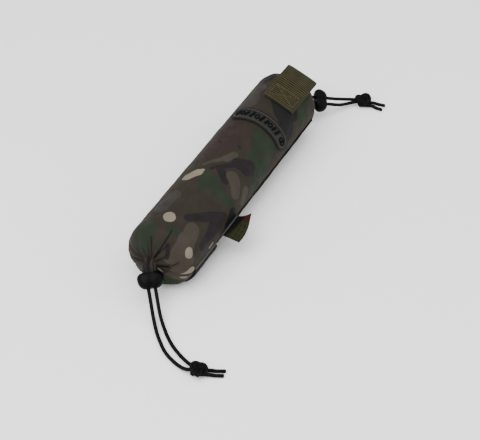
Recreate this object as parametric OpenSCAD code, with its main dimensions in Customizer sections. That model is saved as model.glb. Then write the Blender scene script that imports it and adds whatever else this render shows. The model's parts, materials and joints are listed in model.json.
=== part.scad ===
// A soft cylindrical training bumper as it lies on a table: a foam core in a
// camouflage sleeve, gathered at each end by a drawcord with a two-hole toggle.
// X runs along the body to the end with the webbing tab, and Z is up.
// The origin is the middle of the flat that the body rests on.

/* [Body] */
// Outside diameter of the sleeve
body_d = 75; // [72:1:80]
// Length of the body over both gathered ends
body_l = 320; // [310:5:340]
// Length of each domed end
dome_depth = 20; // [16:1:24]
// Thickness of the sleeve's cloth
sleeve_t = 1; // [0.8:0.1:1.2]
// How far the body's underside is pressed flat by its weight
rest_depth = 0.9; // [0.6:0.1:1.2]

/* [Gathered ends] */
// Radius of the rolled casing that the drawcord runs in
hem_r = 4.5; // [4:0.1:5]
// Radius of the drawcord's ring inside the casing
gather_r = 7; // [6.5:0.1:8]

/* [Cords and toggles] */
// Diameter of the elastic drawcord
cord_d = 3.5; // [3:0.1:3.6]
// Length of a toggle across its two holes
toggle_l = 27; // [25:0.5:28]
// Length of a toggle along the cord
toggle_h = 17; // [14:0.5:18]
// Thickness of a toggle
toggle_t = 14; // [12:0.5:15]
// Diameter of a toggle's holes
toggle_bore = 4.5; // [4.3:0.1:4.8]
// Diameter of a knot
knot_d = 13; // [11:0.5:13.5]

/* [Webbing] */
// Width of the pull tab's webbing
tab_w = 38; // [30:1:40]
// Thickness of one layer of webbing
web_t = 1.6; // [1.2:0.1:1.8]
// Near edge of the pull tab
tab_x0 = 97; // [95:1:105]
// Line where the pull tab stops being sewn down
tab_x1 = 122; // [120:1:130]
// Far edge of the pull tab's loop
tab_x2 = 157; // [150:1:160]
// Angle of the pull tab and badge from the top, towards -Y
front_lean = 22; // [0:1:25]
// How far the pull tab presses into the body
tab_seat = 1; // [0.5:0.1:1.2]

/* [Badge] */
// Middle of the badge along the body
badge_x = 61; // [55:1:75]
// Width of the badge along the body
badge_w = 17; // [10:0.5:20]
// Angle that the badge covers round the body
badge_arc = 102; // [90:2:120]
// Thickness of the badge's plate
badge_t = 1.4; // [1:0.1:2]
// Height of the badge's border and relief above its plate
relief_t = 0.9; // [0.5:0.1:1.2]
// Number of marks in the badge's relief
relief_marks = 9; // [5:1:11]

/* [Side seam, label and side tab] */
// Angle of the side seam from the top, towards -Y
seam_angle = 103; // [95:1:110]
// Near edge of the side label
label_x0 = -84; // [-90:1:-60]
// Length of the side label along the seam
label_l = 34; // [30:1:40]
// How far the side label stands out
label_w = 20; // [18:1:26]
// Direction in which the label stands out, as an angle from the top
label_angle = 83; // [75:1:95]
// Near edge of the side tab
side_tab_x0 = -138; // [-139:1:-130]
// Length of the side tab along the seam
side_tab_l = 43; // [40:1:50]
// Angle that the side tab covers round the body
side_tab_arc = 39; // [30:1:42]

/* [Hidden] */
$fn = 64;

body_r = body_d / 2;
axis_z = body_r - rest_depth;
end_x = body_l / 2;
shoulder_x = end_x - dome_depth;
dome_open_r = 9;
core_end_r = 13;
gap = 0.3;
stitch = 0.5;
loop_gap = 2;
loop_sewn = 6;
box_inset = 3.5;
toggle_holes = 7;
label_t = 1.2;
hem_arc = 5;
label_seam = 3;
side_tab_fold = 2.5;
binding_arc = 3;
binding_t = 1;
hem_t = 1.5;
web_fold_t = 2 * web_t;

// The cords' routes. The first number of each point is its distance beyond the
// body's end, and the others are Y and the height above the table.
near_pull = [30, -25, -27.5];
near_side = [-2.25, -2.7, 0];
near_toggle_at = [12.6, -4.2, 27.6];
near_route_a = [
    [-1.5, 4.4, 39.8], [2.2, 5.1, 38.2], [5.8, 5, 35.8], [9.2, 3.2, 32.8], [16.1, -2.5, 26.4],
    [23, -8.3, 20.1], [32.1, -15.9, 11.8], [37.4, -20.2, 7.3], [42.8, -24.8, 4.2],
    [48, -29.2, 2.8], [53, -33.6, 2.1], [58.5, -38.9, 2], [63.8, -44.5, 2], [68.2, -49.4, 2],
    [72, -54.6, 2], [75, -59.7, 2], [77.4, -64.8, 2], [79.5, -70, 2], [81.2, -75.2, 2.3],
    [82.6, -79.8, 3.2], [83.2, -84.6, 4.8], [82.8, -89.6, 6.3]
];
near_route_b = [
    [-3.7, 0.9, 38.6], [-0.3, 0.8, 37], [2.4, -0.3, 35.1], [4.7, -2.2, 32.8], [11.6, -7.9, 26.4],
    [18.5, -13.7, 20.1], [27.6, -21.3, 11.8], [32.9, -25.9, 7.2], [38.6, -31.4, 4],
    [43.6, -36.4, 2.7], [48.6, -41.6, 2.1], [53.4, -46.9, 2], [58, -52.4, 2], [62, -58, 2],
    [65.6, -63.9, 2], [68.8, -69.8, 2], [71.6, -75.4, 2.4], [74, -79.9, 3.4], [76.4, -84.4, 4.8],
    [79, -89.7, 6.4]
];
near_knot_at = [81.2, -94.6, 7];
near_knot_to = [1, -5, 0];
near_end_a = [[80.7, -99.6, 5.5], [78.5, -105.5, 3], [75.5, -112, 2], [72.4, -118.2, 2]];
near_end_b = [[78.2, -96.6, 5.5], [74, -101.8, 3], [70, -109.5, 2], [66.2, -117.2, 2]];
far_pull = [20, -20, -9];
far_side = [2.33, 1.34, 2.2];
far_toggle_at = [23.1, -26.75, 21];
far_route_a = [
    [-2, 2, 40], [0.2, 0.8, 39.4], [2.5, -0.7, 38.4], [5, -2.8, 36.7], [7.6, -5.3, 34.7],
    [10.4, -8.4, 32.5], [13.2, -11.8, 30.2], [16, -15.2, 28.2], [18.7, -18.7, 26.2],
    [25.43, -25.41, 23.2], [32.2, -32.1, 20.2], [38.9, -38.9, 17.1], [43.4, -42.1, 15],
    [47.5, -44.8, 12.9], [51.2, -47.4, 11.2], [54.6, -50.1, 9.8], [57.4, -52.8, 8.7],
    [59.8, -55.8, 7.9], [61.4, -58.9, 7.3]
];
far_route_b = [
    [-2.5, -1, 36.8], [-0.2, -2.6, 35.8], [2, -4.7, 34.2], [4, -7.3, 32.1], [6, -10.1, 29.9],
    [8, -13, 27.6], [10, -15.8, 25.4], [12, -18.6, 23.5], [14, -21.35, 21.8],
    [20.77, -28.09, 18.8], [27.5, -34.8, 15.8], [34.2, -41.6, 12.7], [37.8, -43.9, 10.9],
    [41.3, -45.5, 9.2], [44.8, -47, 7.9], [48.2, -48.7, 6.9], [51.5, -50.7, 6.2],
    [54.7, -53.1, 5.8], [57.4, -55.8, 5.9], [59.5, -58.8, 6.3]
];
far_knot_at = [63, -63.2, 7];
far_knot_to = [3, -5, 0];
far_end_a = [[66.5, -66.2, 5.5], [69, -72.8, 3], [71, -80.5, 2], [72, -87.8, 2]];
far_end_b = [[62.6, -67.8, 5.5], [63, -74, 3], [63.3, -81, 2], [63, -87.8, 2]];

// Vectors and points

function unit(v) = v / norm(v);

// A point [distance beyond the end, y, z] in the part's frame; end is -1 or 1.
function placed(p, end) = [end * (end_x + p[0]), p[1], p[2]];
function route(points, end) = [for (p = points) placed(p, end)];

// The direction of a route at its point i.
function heading(points, i) =
    unit(points[min(i + 1, len(points) - 1)] - points[max(i - 1, 0)]);

// Eight points round the route's point i.
function ring(points, i, d) =
    let (along = heading(points, i),
         side = unit(cross(along, [0, 0, 1])),
         over = cross(side, along))
    [for (a = [22.5 : 45 : 337.5]) points[i] + d / 2 * (cos(a) * side + sin(a) * over)];

// A quarter of an ellipse from the radius r0 at x0 to r1 at x0 + depth.
function quarter(r0, r1, x0, depth) =
    [for (a = [0 : 10 : 90]) [r1 + (r0 - r1) * cos(a), x0 + depth * sin(a)]];

// The half outline of a body with two domed ends, from pole to pole.
function spindle(r0, r1, half_l, depth) =
    let (dome = quarter(r0, r1, half_l - depth, depth), n = len(dome))
    concat([[0, -half_l]], [for (i = [n - 1 : -1 : 0]) [dome[i][0], -dome[i][1]]],
           dome, [[0, half_l]]);

// The half outline of a drum with rounded rims.
function drum(r, half_h, rim) = concat(
    [[0, -half_h]],
    [for (a = [-90 : 15 : 0]) [r - rim + rim * cos(a), -half_h + rim + rim * sin(a)]],
    [for (a = [0 : 15 : 90]) [r - rim + rim * cos(a), half_h - rim + rim * sin(a)]],
    [[0, half_h]]
);

// Shared shapes

// A tube swept along a route, with a flat cap at each end.
module tube(points, d) {
    last = len(points) - 1;
    polyhedron(
        points = [for (i = [0 : last]) each ring(points, i, d)],
        faces = concat(
            [[for (k = [0 : 7]) k]],
            [[for (k = [7 : -1 : 0]) 8 * last + k]],
            [for (i = [0 : last - 1], k = [0 : 7])
                [8 * i + k, 8 * i + 8 + k, 8 * i + 8 + (k + 1) % 8, 8 * i + (k + 1) % 8]]
        )
    );
}

// Turns a shape made round Z so that it runs along the body's axis.
module on_axis() {
    translate([0, 0, axis_z]) rotate([0, 90, 0]) children();
}

// A band round the body between two radii, two angles from the top and two X.
module wrapped(r0, r1, a0, a1, x0, x1) {
    on_axis() rotate([0, 0, 180 + a0]) rotate_extrude(angle = a1 - a0)
        translate([r0, x0]) square([r1 - r0, x1 - x0]);
}

// A band with round ends, wrapped round the body at the badge.
module wrapped_pill(r0, r1, half_w, arc) {
    end_r = 0.96 * half_w;
    wrapped(r0, r1, front_lean - arc / 2, front_lean + arc / 2,
            badge_x - half_w, badge_x + half_w);
    for (a = [front_lean - arc / 2, front_lean + arc / 2])
        intersection() {
            wrapped(r0, r1, a - 20, a + 20, badge_x - half_w, badge_x + half_w);
            translate([badge_x, 0, axis_z]) rotate([a, 0, 0]) cylinder(r = end_r, h = 2 * r1);
        }
}

// The frame of the pull tab: Z leans towards the front.
module leaning() {
    translate([0, 0, axis_z]) rotate([front_lean, 0, 0]) children();
}

// Moves a shape so that its Z runs along pull, its X along side, and its origin is at.
module set_along(at, pull, side) {
    w = unit(pull);
    u = unit(side);
    v = cross(w, u);
    multmatrix([[u[0], v[0], w[0], at[0]], [u[1], v[1], w[1], at[1]],
                [u[2], v[2], w[2], at[2]], [0, 0, 0, 1]]) children();
}

// The body's solid shape less an even skin, cut off flat underneath and under the tab.
module body_solid(skin) {
    intersection() {
        on_axis() rotate_extrude()
            polygon(spindle(body_r - skin, dome_open_r, end_x - 2 - skin, dome_depth - 2 - skin));
        translate([-body_l, -body_d, skin]) cube([2 * body_l, 2 * body_d, 2 * body_d]);
    }
}

module tab_seat_cut(skin) {
    leaning() translate([tab_x0 - 2, -body_r, body_r - tab_seat - skin])
        cube([body_l, body_d, body_d]);
}

// Body

module foam_core() {
    color("#5f5d58") difference() {
        intersection() {
            on_axis() rotate_extrude()
                polygon(spindle(body_r - sleeve_t, core_end_r, end_x - 2 * hem_r - 1,
                                dome_depth - 2 * hem_r - 1));
            translate([-body_l, -body_d, sleeve_t]) cube([2 * body_l, 2 * body_d, 2 * body_d]);
        }
        tab_seat_cut(sleeve_t);
    }
}

module sleeve() {
    color("#3d3a35") difference() {
        body_solid(0);
        difference() {
            body_solid(sleeve_t);
            tab_seat_cut(sleeve_t);
        }
        tab_seat_cut(0);
        on_axis() translate([0, 0, -body_l]) cylinder(r = dome_open_r, h = 2 * body_l);
    }
}

module hem(end) {
    color("#35322e") translate([end * (end_x - hem_r), 0, axis_z]) rotate([0, 90, 0])
        rotate_extrude() translate([gather_r, 0]) difference() {
            circle(hem_r);
            circle(d = cord_d);
        }
}

module cord_ring(end) {
    color("#1c1c1c") translate([end * (end_x - hem_r), 0, axis_z]) rotate([0, 90, 0])
        rotate_extrude() translate([gather_r, 0]) circle(d = cord_d);
}

module near_hem() { hem(-1); }
module far_hem() { hem(1); }
module near_cord_ring() { cord_ring(-1); }
module far_cord_ring() { cord_ring(1); }

// Cords, knots and toggles

module strand(points, end) {
    color("#1c1c1c") tube(route(points, end), cord_d);
}

module near_strand_a() { strand(near_route_a, -1); }
module near_strand_b() { strand(near_route_b, -1); }
module far_strand_a() { strand(far_route_a, 1); }
module far_strand_b() { strand(far_route_b, 1); }
module near_tail_a() { strand(near_end_a, -1); }
module near_tail_b() { strand(near_end_b, -1); }
module far_tail_a() { strand(far_end_a, 1); }
module far_tail_b() { strand(far_end_b, 1); }

module knot(at, to, end) {
    heading = [end * to[0], to[1], to[2]];
    color("#1c1c1c") set_along(placed(at, end), heading, cross(heading, [0, 0, 1]))
        rotate_extrude() polygon(drum(knot_d / 2, 0.62 * knot_d, 0.45 * knot_d));
}

module near_knot() { knot(near_knot_at, near_knot_to, -1); }
module far_knot() { knot(far_knot_at, far_knot_to, 1); }

// Two drums joined by a waist, with a hole through each for a strand.
module toggle() {
    lobe_r = toggle_t / 2;
    waist_t = 0.8 * toggle_t;
    color("#262626") difference() {
        union() {
            for (s = [-1, 1]) translate([s * (toggle_l / 2 - lobe_r), 0, 0])
                rotate_extrude() polygon(drum(lobe_r, toggle_h / 2, 4));
            cube([toggle_l - toggle_t, waist_t, toggle_h - 2], center = true);
        }
        for (s = [-1, 1]) translate([s * toggle_holes / 2, 0, -toggle_h])
            cylinder(d = toggle_bore, h = 2 * toggle_h);
    }
}

module near_toggle() {
    pull = [-near_pull[0], near_pull[1], near_pull[2]];
    side = [-near_side[0], near_side[1], near_side[2]];
    set_along(placed(near_toggle_at, -1), pull, side) toggle();
}

module far_toggle() {
    set_along(placed(far_toggle_at, 1), far_pull, far_side) toggle();
}

// Pull tab

// The height of the pull tab's underside above the body's axis.
tab_z = body_r - tab_seat;

module pull_tab_base() {
    color("#4d4a2e") leaning() translate([tab_x0, -tab_w / 2, tab_z])
        cube([tab_x1 - tab_x0, tab_w, web_fold_t]);
}

// The side view of the loop: two layers that part towards a round fold.
module loop_outline() {
    fold_r = web_t + loop_gap / 2;
    fold_at = [tab_x2 - fold_r, tab_z + gap + fold_r];
    start = tab_x1 + gap;
    difference() {
        polygon(concat(
            [[start, tab_z + gap]],
            [for (a = [-90 : 15 : 90]) fold_at + fold_r * [cos(a), sin(a)]],
            [[start, tab_z + web_fold_t]]
        ));
        polygon(concat(
            [[start + loop_sewn, tab_z + gap + web_t]],
            [for (a = [-90 : 15 : 90]) fold_at + loop_gap / 2 * [cos(a), sin(a)]]
        ));
    }
}

module pull_tab_loop() {
    color("#4d4a2e") leaning() translate([0, tab_w / 2, 0]) rotate([90, 0, 0])
        linear_extrude(tab_w) loop_outline();
}

// A sewn box with a cross in it, on top of the pull tab's base.
module tab_box_stitch() {
    box_x = tab_x1 - tab_x0 - 2 * box_inset;
    box_y = tab_w - 2 * box_inset;
    cross_a = atan2(box_y, box_x);
    color("#3b3a22") leaning()
        translate([(tab_x0 + tab_x1) / 2, 0, tab_z + web_fold_t + stitch / 2]) {
            for (s = [-1, 1]) {
                translate([s * box_x / 2, 0, 0]) cube([stitch, box_y, stitch], center = true);
                translate([0, s * box_y / 2, 0]) cube([box_x, stitch, stitch], center = true);
                rotate([0, 0, s * cross_a])
                    cube([norm([box_x, box_y]) - stitch, stitch, stitch], center = true);
            }
        }
}

// Badge

badge_r = body_r + badge_t;
pill_w = badge_w / 2;
border_w = 2.2;

module badge_plate() {
    color("#2b2b28") wrapped_pill(body_r, badge_r, pill_w, badge_arc);
}

module badge_border() {
    color("#151515") difference() {
        wrapped_pill(badge_r, badge_r + relief_t, pill_w, badge_arc);
        wrapped_pill(badge_r - 1, badge_r + relief_t + 1, pill_w - border_w, badge_arc);
    }
}

module badge_relief() {
    step = (badge_arc - 8) / (relief_marks - 1);
    color("#4a4a45") intersection() {
        wrapped(badge_r, badge_r + relief_t, front_lean - badge_arc / 2 - 5,
                front_lean + badge_arc / 2 + 5, badge_x - pill_w, badge_x + pill_w);
        for (i = [0 : relief_marks - 1])
            translate([badge_x, 0, axis_z])
                rotate([front_lean - badge_arc / 2 + 4 + i * step, 0, 0])
                    rotate([0, 0, 30]) translate([-2.4, -0.9, 0]) cube([4.8, 1.8, 2 * body_r]);
    }
}

// Runs of thread along the badge's sides and across its ends.
module badge_stitch() {
    half_arc = badge_arc / 2;
    end_arc = half_arc + 15;
    color("#202020") for (s = [-1, 1]) {
        wrapped(body_r, body_r + stitch, front_lean - half_arc, front_lean + half_arc,
                badge_x + s * (pill_w + 1) - stitch / 2, badge_x + s * (pill_w + 1) + stitch / 2);
        wrapped(body_r, body_r + stitch, front_lean + s * end_arc - 0.4,
                front_lean + s * end_arc + 0.4, badge_x - pill_w / 2, badge_x + pill_w / 2);
    }
}

// Side seam, label and side tab

module seam_binding() {
    color("#1d1c1b")
        wrapped(body_r, body_r + binding_t, seam_angle, seam_angle + binding_arc,
                side_tab_x0 + side_tab_l + 1, shoulder_x);
}

module label_hem() {
    color("#111111")
        wrapped(body_r, body_r + hem_t, seam_angle - hem_arc, seam_angle - gap, label_x0,
                label_x0 + label_l);
}

// The label's base narrows towards the line that it turns about, so it clears its hem.
module side_label() {
    base_angle = seam_angle - label_seam;
    half = label_t / 2;
    color("#3c4326") translate([0, 0, axis_z]) rotate([base_angle, 0, 0])
        translate([label_x0, 0, body_r + hem_t + gap + half])
            rotate([label_angle - base_angle, 0, 0]) rotate([90, 0, 90])
                linear_extrude(label_l) polygon([
                    [-half / 3, -half / 2], [half / 3, -half / 2], [half, half],
                    [half, label_w - hem_t], [-half, label_w - hem_t], [-half, half]
                ]);
}

module side_tab_hem() {
    color("#22211f")
        wrapped(body_r, body_r + hem_t, seam_angle - hem_arc, seam_angle, side_tab_x0,
                side_tab_x0 + side_tab_l);
}

// Two layers of webbing that lie over the sleeve, free below the seam.
module side_tab() {
    color("#2b2a27")
        wrapped(body_r + gap, body_r + web_fold_t, seam_angle + side_tab_fold,
                seam_angle + side_tab_arc, side_tab_x0, side_tab_x0 + side_tab_l);
}

foam_core();
sleeve();
near_hem();
far_hem();
near_cord_ring();
far_cord_ring();
near_strand_a();
near_strand_b();
far_strand_a();
far_strand_b();
near_knot();
far_knot();
near_tail_a();
near_tail_b();
far_tail_a();
far_tail_b();
near_toggle();
far_toggle();
pull_tab_base();
pull_tab_loop();
tab_box_stitch();
badge_plate();
badge_border();
badge_relief();
badge_stitch();
seam_binding();
side_label();
label_hem();
side_tab_hem();
side_tab();
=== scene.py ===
"""The looks of the training bumper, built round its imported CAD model. Lengths are millimetres times MM."""

import json
import math

import bmesh
import bpy
from mathutils import Vector, noise
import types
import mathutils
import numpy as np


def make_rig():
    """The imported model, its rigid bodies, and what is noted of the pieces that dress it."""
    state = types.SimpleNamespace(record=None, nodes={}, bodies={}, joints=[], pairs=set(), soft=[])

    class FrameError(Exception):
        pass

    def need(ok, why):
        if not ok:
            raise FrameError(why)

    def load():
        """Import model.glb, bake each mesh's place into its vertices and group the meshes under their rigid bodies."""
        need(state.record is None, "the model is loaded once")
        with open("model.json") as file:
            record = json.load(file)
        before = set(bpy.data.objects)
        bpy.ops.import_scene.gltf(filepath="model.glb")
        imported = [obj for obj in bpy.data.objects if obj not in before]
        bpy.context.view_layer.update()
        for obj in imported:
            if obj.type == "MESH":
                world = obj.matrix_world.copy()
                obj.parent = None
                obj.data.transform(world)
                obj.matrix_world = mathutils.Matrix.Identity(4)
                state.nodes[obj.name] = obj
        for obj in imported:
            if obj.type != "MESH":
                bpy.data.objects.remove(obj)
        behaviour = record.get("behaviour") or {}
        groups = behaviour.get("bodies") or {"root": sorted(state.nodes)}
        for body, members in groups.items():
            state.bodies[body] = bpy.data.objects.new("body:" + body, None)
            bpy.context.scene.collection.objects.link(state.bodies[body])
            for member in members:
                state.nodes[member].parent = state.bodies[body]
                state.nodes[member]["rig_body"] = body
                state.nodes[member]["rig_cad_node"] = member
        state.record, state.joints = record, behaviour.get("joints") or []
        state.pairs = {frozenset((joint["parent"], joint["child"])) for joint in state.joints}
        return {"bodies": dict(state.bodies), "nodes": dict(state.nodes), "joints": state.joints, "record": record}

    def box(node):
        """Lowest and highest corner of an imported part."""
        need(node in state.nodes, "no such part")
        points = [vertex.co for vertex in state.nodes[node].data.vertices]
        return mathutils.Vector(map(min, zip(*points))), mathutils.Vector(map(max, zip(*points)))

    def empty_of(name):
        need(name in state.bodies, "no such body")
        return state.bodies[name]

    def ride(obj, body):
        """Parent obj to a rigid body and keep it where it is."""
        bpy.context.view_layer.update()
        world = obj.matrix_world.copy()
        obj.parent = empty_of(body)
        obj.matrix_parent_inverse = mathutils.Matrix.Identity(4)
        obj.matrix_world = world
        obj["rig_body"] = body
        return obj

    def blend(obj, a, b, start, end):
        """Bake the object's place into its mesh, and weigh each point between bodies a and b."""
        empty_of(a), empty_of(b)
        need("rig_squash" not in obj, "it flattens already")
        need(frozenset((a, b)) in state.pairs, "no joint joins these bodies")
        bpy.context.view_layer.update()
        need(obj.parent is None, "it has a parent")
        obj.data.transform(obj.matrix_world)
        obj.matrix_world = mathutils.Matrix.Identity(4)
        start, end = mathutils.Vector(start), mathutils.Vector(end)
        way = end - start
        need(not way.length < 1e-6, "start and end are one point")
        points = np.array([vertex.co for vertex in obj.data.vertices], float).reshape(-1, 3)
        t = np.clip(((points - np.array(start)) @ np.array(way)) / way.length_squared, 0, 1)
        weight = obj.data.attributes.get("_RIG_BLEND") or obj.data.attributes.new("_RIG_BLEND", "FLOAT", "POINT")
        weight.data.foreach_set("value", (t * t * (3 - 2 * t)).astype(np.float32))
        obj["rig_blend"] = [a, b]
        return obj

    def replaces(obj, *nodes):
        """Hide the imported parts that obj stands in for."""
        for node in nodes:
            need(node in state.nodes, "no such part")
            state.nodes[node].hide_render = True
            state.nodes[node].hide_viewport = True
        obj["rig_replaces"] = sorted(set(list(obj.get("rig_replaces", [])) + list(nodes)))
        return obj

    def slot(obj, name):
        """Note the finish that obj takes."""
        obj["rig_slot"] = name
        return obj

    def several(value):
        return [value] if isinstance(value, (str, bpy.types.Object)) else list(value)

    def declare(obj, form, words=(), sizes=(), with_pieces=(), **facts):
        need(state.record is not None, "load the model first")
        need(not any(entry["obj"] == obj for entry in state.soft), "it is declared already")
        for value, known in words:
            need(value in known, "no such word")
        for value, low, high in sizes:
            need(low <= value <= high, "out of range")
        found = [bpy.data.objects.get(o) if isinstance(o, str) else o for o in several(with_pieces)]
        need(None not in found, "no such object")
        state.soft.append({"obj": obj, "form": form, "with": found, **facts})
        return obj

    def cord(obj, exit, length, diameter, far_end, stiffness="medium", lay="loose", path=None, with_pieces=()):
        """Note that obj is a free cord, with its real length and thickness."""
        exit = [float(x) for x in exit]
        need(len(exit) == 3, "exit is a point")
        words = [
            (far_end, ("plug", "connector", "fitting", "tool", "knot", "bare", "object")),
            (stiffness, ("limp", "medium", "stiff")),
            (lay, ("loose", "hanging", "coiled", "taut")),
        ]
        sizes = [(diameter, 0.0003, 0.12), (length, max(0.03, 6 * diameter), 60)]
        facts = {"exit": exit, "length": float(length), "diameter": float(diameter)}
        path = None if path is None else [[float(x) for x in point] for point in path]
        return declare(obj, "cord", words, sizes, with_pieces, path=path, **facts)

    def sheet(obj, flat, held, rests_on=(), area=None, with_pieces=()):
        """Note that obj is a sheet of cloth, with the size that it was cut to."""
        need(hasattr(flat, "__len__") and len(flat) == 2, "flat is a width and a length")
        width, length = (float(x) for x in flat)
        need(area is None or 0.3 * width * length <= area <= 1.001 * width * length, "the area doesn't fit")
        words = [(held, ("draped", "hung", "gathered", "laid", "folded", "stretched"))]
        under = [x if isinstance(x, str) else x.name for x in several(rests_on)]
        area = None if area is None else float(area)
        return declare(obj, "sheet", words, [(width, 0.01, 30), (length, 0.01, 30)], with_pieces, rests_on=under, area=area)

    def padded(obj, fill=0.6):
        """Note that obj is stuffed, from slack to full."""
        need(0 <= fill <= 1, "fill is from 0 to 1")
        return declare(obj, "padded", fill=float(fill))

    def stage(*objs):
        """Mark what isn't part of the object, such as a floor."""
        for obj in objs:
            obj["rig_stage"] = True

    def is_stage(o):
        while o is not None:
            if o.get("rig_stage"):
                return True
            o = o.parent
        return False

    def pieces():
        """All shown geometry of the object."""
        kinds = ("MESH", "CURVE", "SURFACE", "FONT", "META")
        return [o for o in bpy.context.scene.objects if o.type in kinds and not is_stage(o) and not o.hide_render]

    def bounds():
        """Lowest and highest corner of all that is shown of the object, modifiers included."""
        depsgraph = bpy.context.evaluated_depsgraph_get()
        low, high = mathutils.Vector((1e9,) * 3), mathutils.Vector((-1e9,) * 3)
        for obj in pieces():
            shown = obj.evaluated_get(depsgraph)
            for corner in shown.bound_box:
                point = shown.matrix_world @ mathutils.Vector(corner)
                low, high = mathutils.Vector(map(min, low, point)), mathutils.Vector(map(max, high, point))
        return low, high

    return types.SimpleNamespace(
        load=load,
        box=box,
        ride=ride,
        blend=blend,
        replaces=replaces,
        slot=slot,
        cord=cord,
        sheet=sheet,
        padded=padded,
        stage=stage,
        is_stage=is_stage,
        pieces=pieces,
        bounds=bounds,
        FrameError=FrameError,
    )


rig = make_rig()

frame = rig.load()
cad_low, cad_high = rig.bounds()

MM = 0.001
TURN = 2 * math.pi

# ---- Sizes ----

sleeve_low, sleeve_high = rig.box("sleeve")
hem_low, hem_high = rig.box("near_hem")
BODY_R = (sleeve_high.y - sleeve_low.y) / 2
AXIS_Z = (hem_low.z + hem_high.z) / 2
END_X = -hem_low.x
SHOULDER_X = END_X - 20 * MM
GATHER_X = END_X - 0.8 * MM
TAB_NEAR_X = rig.box("pull_tab_base")[0].x
TAB_SEWN_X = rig.box("pull_tab_base")[1].x
TAB_FAR_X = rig.box("pull_tab_loop")[1].x + 4 * MM
TAB_W = 38 * MM
TAB_SEAT = 1 * MM
TAB_DROOP = 4 * MM
WEB_T = 1.6 * MM
BADGE_X = sum(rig.box("badge_plate"), Vector()).x / 2
BADGE_W = 17 * MM
BADGE_ARC = math.radians(102)
LEAN = math.radians(22)
SEAM = math.radians(103)
CORD_D = 3.9 * MM


# ---- Camera, lights and floor ----

CAMERA_AZIMUTH = -62.63
CAMERA_ELEVATION = 42.02
CAMERA_DISTANCE = 1.5
CAMERA_LENS = 111.44
CAMERA_TARGET = Vector((-92.6, -64.2, 70.3)) * MM
LIGHT_DISTANCE = 1.8
FLOOR_HALF = 3


def direction(azimuth, elevation):
    a, e = math.radians(azimuth), math.radians(elevation)
    return Vector((math.sin(a) * math.cos(e), -math.cos(a) * math.cos(e), math.sin(e)))


def place(thing, name, aim, distance, target):
    ob = bpy.data.objects.new(name, thing)
    bpy.context.collection.objects.link(ob)
    ob.location = target + aim * distance
    ob.rotation_euler = aim.to_track_quat("Z", "Y").to_euler()
    return ob


def add_camera():
    data = bpy.data.cameras.new("camera")
    data.lens = CAMERA_LENS
    data.sensor_width = 36
    data.clip_end = 20
    aim = direction(CAMERA_AZIMUTH, CAMERA_ELEVATION)
    bpy.context.scene.camera = place(data, "camera", aim, CAMERA_DISTANCE, CAMERA_TARGET)


def add_light(name, azimuth, elevation, size, power):
    data = bpy.data.lights.new(name, "AREA")
    data.size = size
    data.energy = power
    place(data, name, direction(azimuth, elevation), LIGHT_DISTANCE, Vector())


def add_world(strength):
    world = bpy.data.worlds.new("studio")
    world.use_nodes = True
    background = world.node_tree.nodes["Background"]
    background.inputs["Color"].default_value = (1, 1, 1, 1)
    background.inputs["Strength"].default_value = strength
    bpy.context.scene.world = world


# ---- Meshes ----


def mesh_object(name, verts, faces, uv_of=None):
    """A mesh object; uv_of(face index, corner index, vertex index) gives a UV in metres."""
    mesh = bpy.data.meshes.new(name)
    mesh.from_pydata([tuple(v) for v in verts], [], faces)
    if uv_of:
        layer = mesh.uv_layers.new(name="cloth")
        for f, polygon in enumerate(mesh.polygons):
            for c, loop in enumerate(polygon.loop_indices):
                layer.data[loop].uv = uv_of(f, c, mesh.loops[loop].vertex_index)
    mesh.validate()
    return smooth_object(name, mesh)


def smooth_object(name, mesh):
    mesh.polygons.foreach_set("use_smooth", [True] * len(mesh.polygons))
    ob = bpy.data.objects.new(name, mesh)
    bpy.context.collection.objects.link(ob)
    return ob


def outward(ob):
    """Turns a closed mesh's faces outwards."""
    work = bmesh.new()
    work.from_mesh(ob.data)
    bmesh.ops.recalc_face_normals(work, faces=work.faces)
    work.to_mesh(ob.data)
    work.free()
    return ob


def joined(name, parts):
    """One mesh object of several, with their own UVs and materials kept."""
    work = bmesh.new()
    for part in parts:
        work.from_mesh(part.data)
    mesh = bpy.data.meshes.new(name)
    work.to_mesh(mesh)
    work.free()
    for part in parts:
        old = part.data
        bpy.data.objects.remove(part)
        bpy.data.meshes.remove(old)
    return smooth_object(name, mesh)


def stand_in(ob, body, slot, *nodes):
    """Has a piece ride on a body in the place of CAD nodes, with the slot of their material."""
    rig.ride(ob, body)
    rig.replaces(ob, *nodes)
    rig.slot(ob, slot)
    return ob


def ring_faces(rings, count, closed=False):
    """The quads between rings of points; closed goes on from the last ring to the first."""
    faces = []
    for i in range(rings if closed else rings - 1):
        this, after = i * count, (i + 1) % rings * count
        for k in range(count):
            n = (k + 1) % count
            faces.append((this + k, this + n, after + n, after + k))
    return faces


def end_faces(rings, count):
    """The two faces that close the first ring and the last."""
    return [tuple(range(count))[::-1], tuple((rings - 1) * count + k for k in range(count))]


def beside(line, i):
    """The points before and after one of a line's, or itself at an end."""
    return line[max(i - 1, 0)], line[min(i + 1, len(line) - 1)]


def runs_of(line):
    """How far along the line each of its points is."""
    runs = [0.0]
    for before, after in zip(line, line[1:]):
        runs.append(runs[-1] + math.dist(before, after))
    return runs


def smooth_path(points, step):
    """A Catmull-Rom line through the points, with points about a step apart."""
    points = [Vector(p) for p in points]
    ends = [2 * points[0] - points[1]] + points + [2 * points[-1] - points[-2]]
    line = []
    for i in range(1, len(ends) - 2):
        a, b, c, d = ends[i - 1 : i + 3]
        count = max(1, round((c - b).length / step))
        for k in range(count):
            t = k / count
            line.append(0.5 * (2 * b + (c - a) * t + (2 * a - 5 * b + 4 * c - d) * t * t
                               + (3 * b - a - 3 * c + d) * t ** 3))
    return line + [points[-1]]


def path_length(line):
    return sum((b - a).length for a, b in zip(line, line[1:]))


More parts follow.
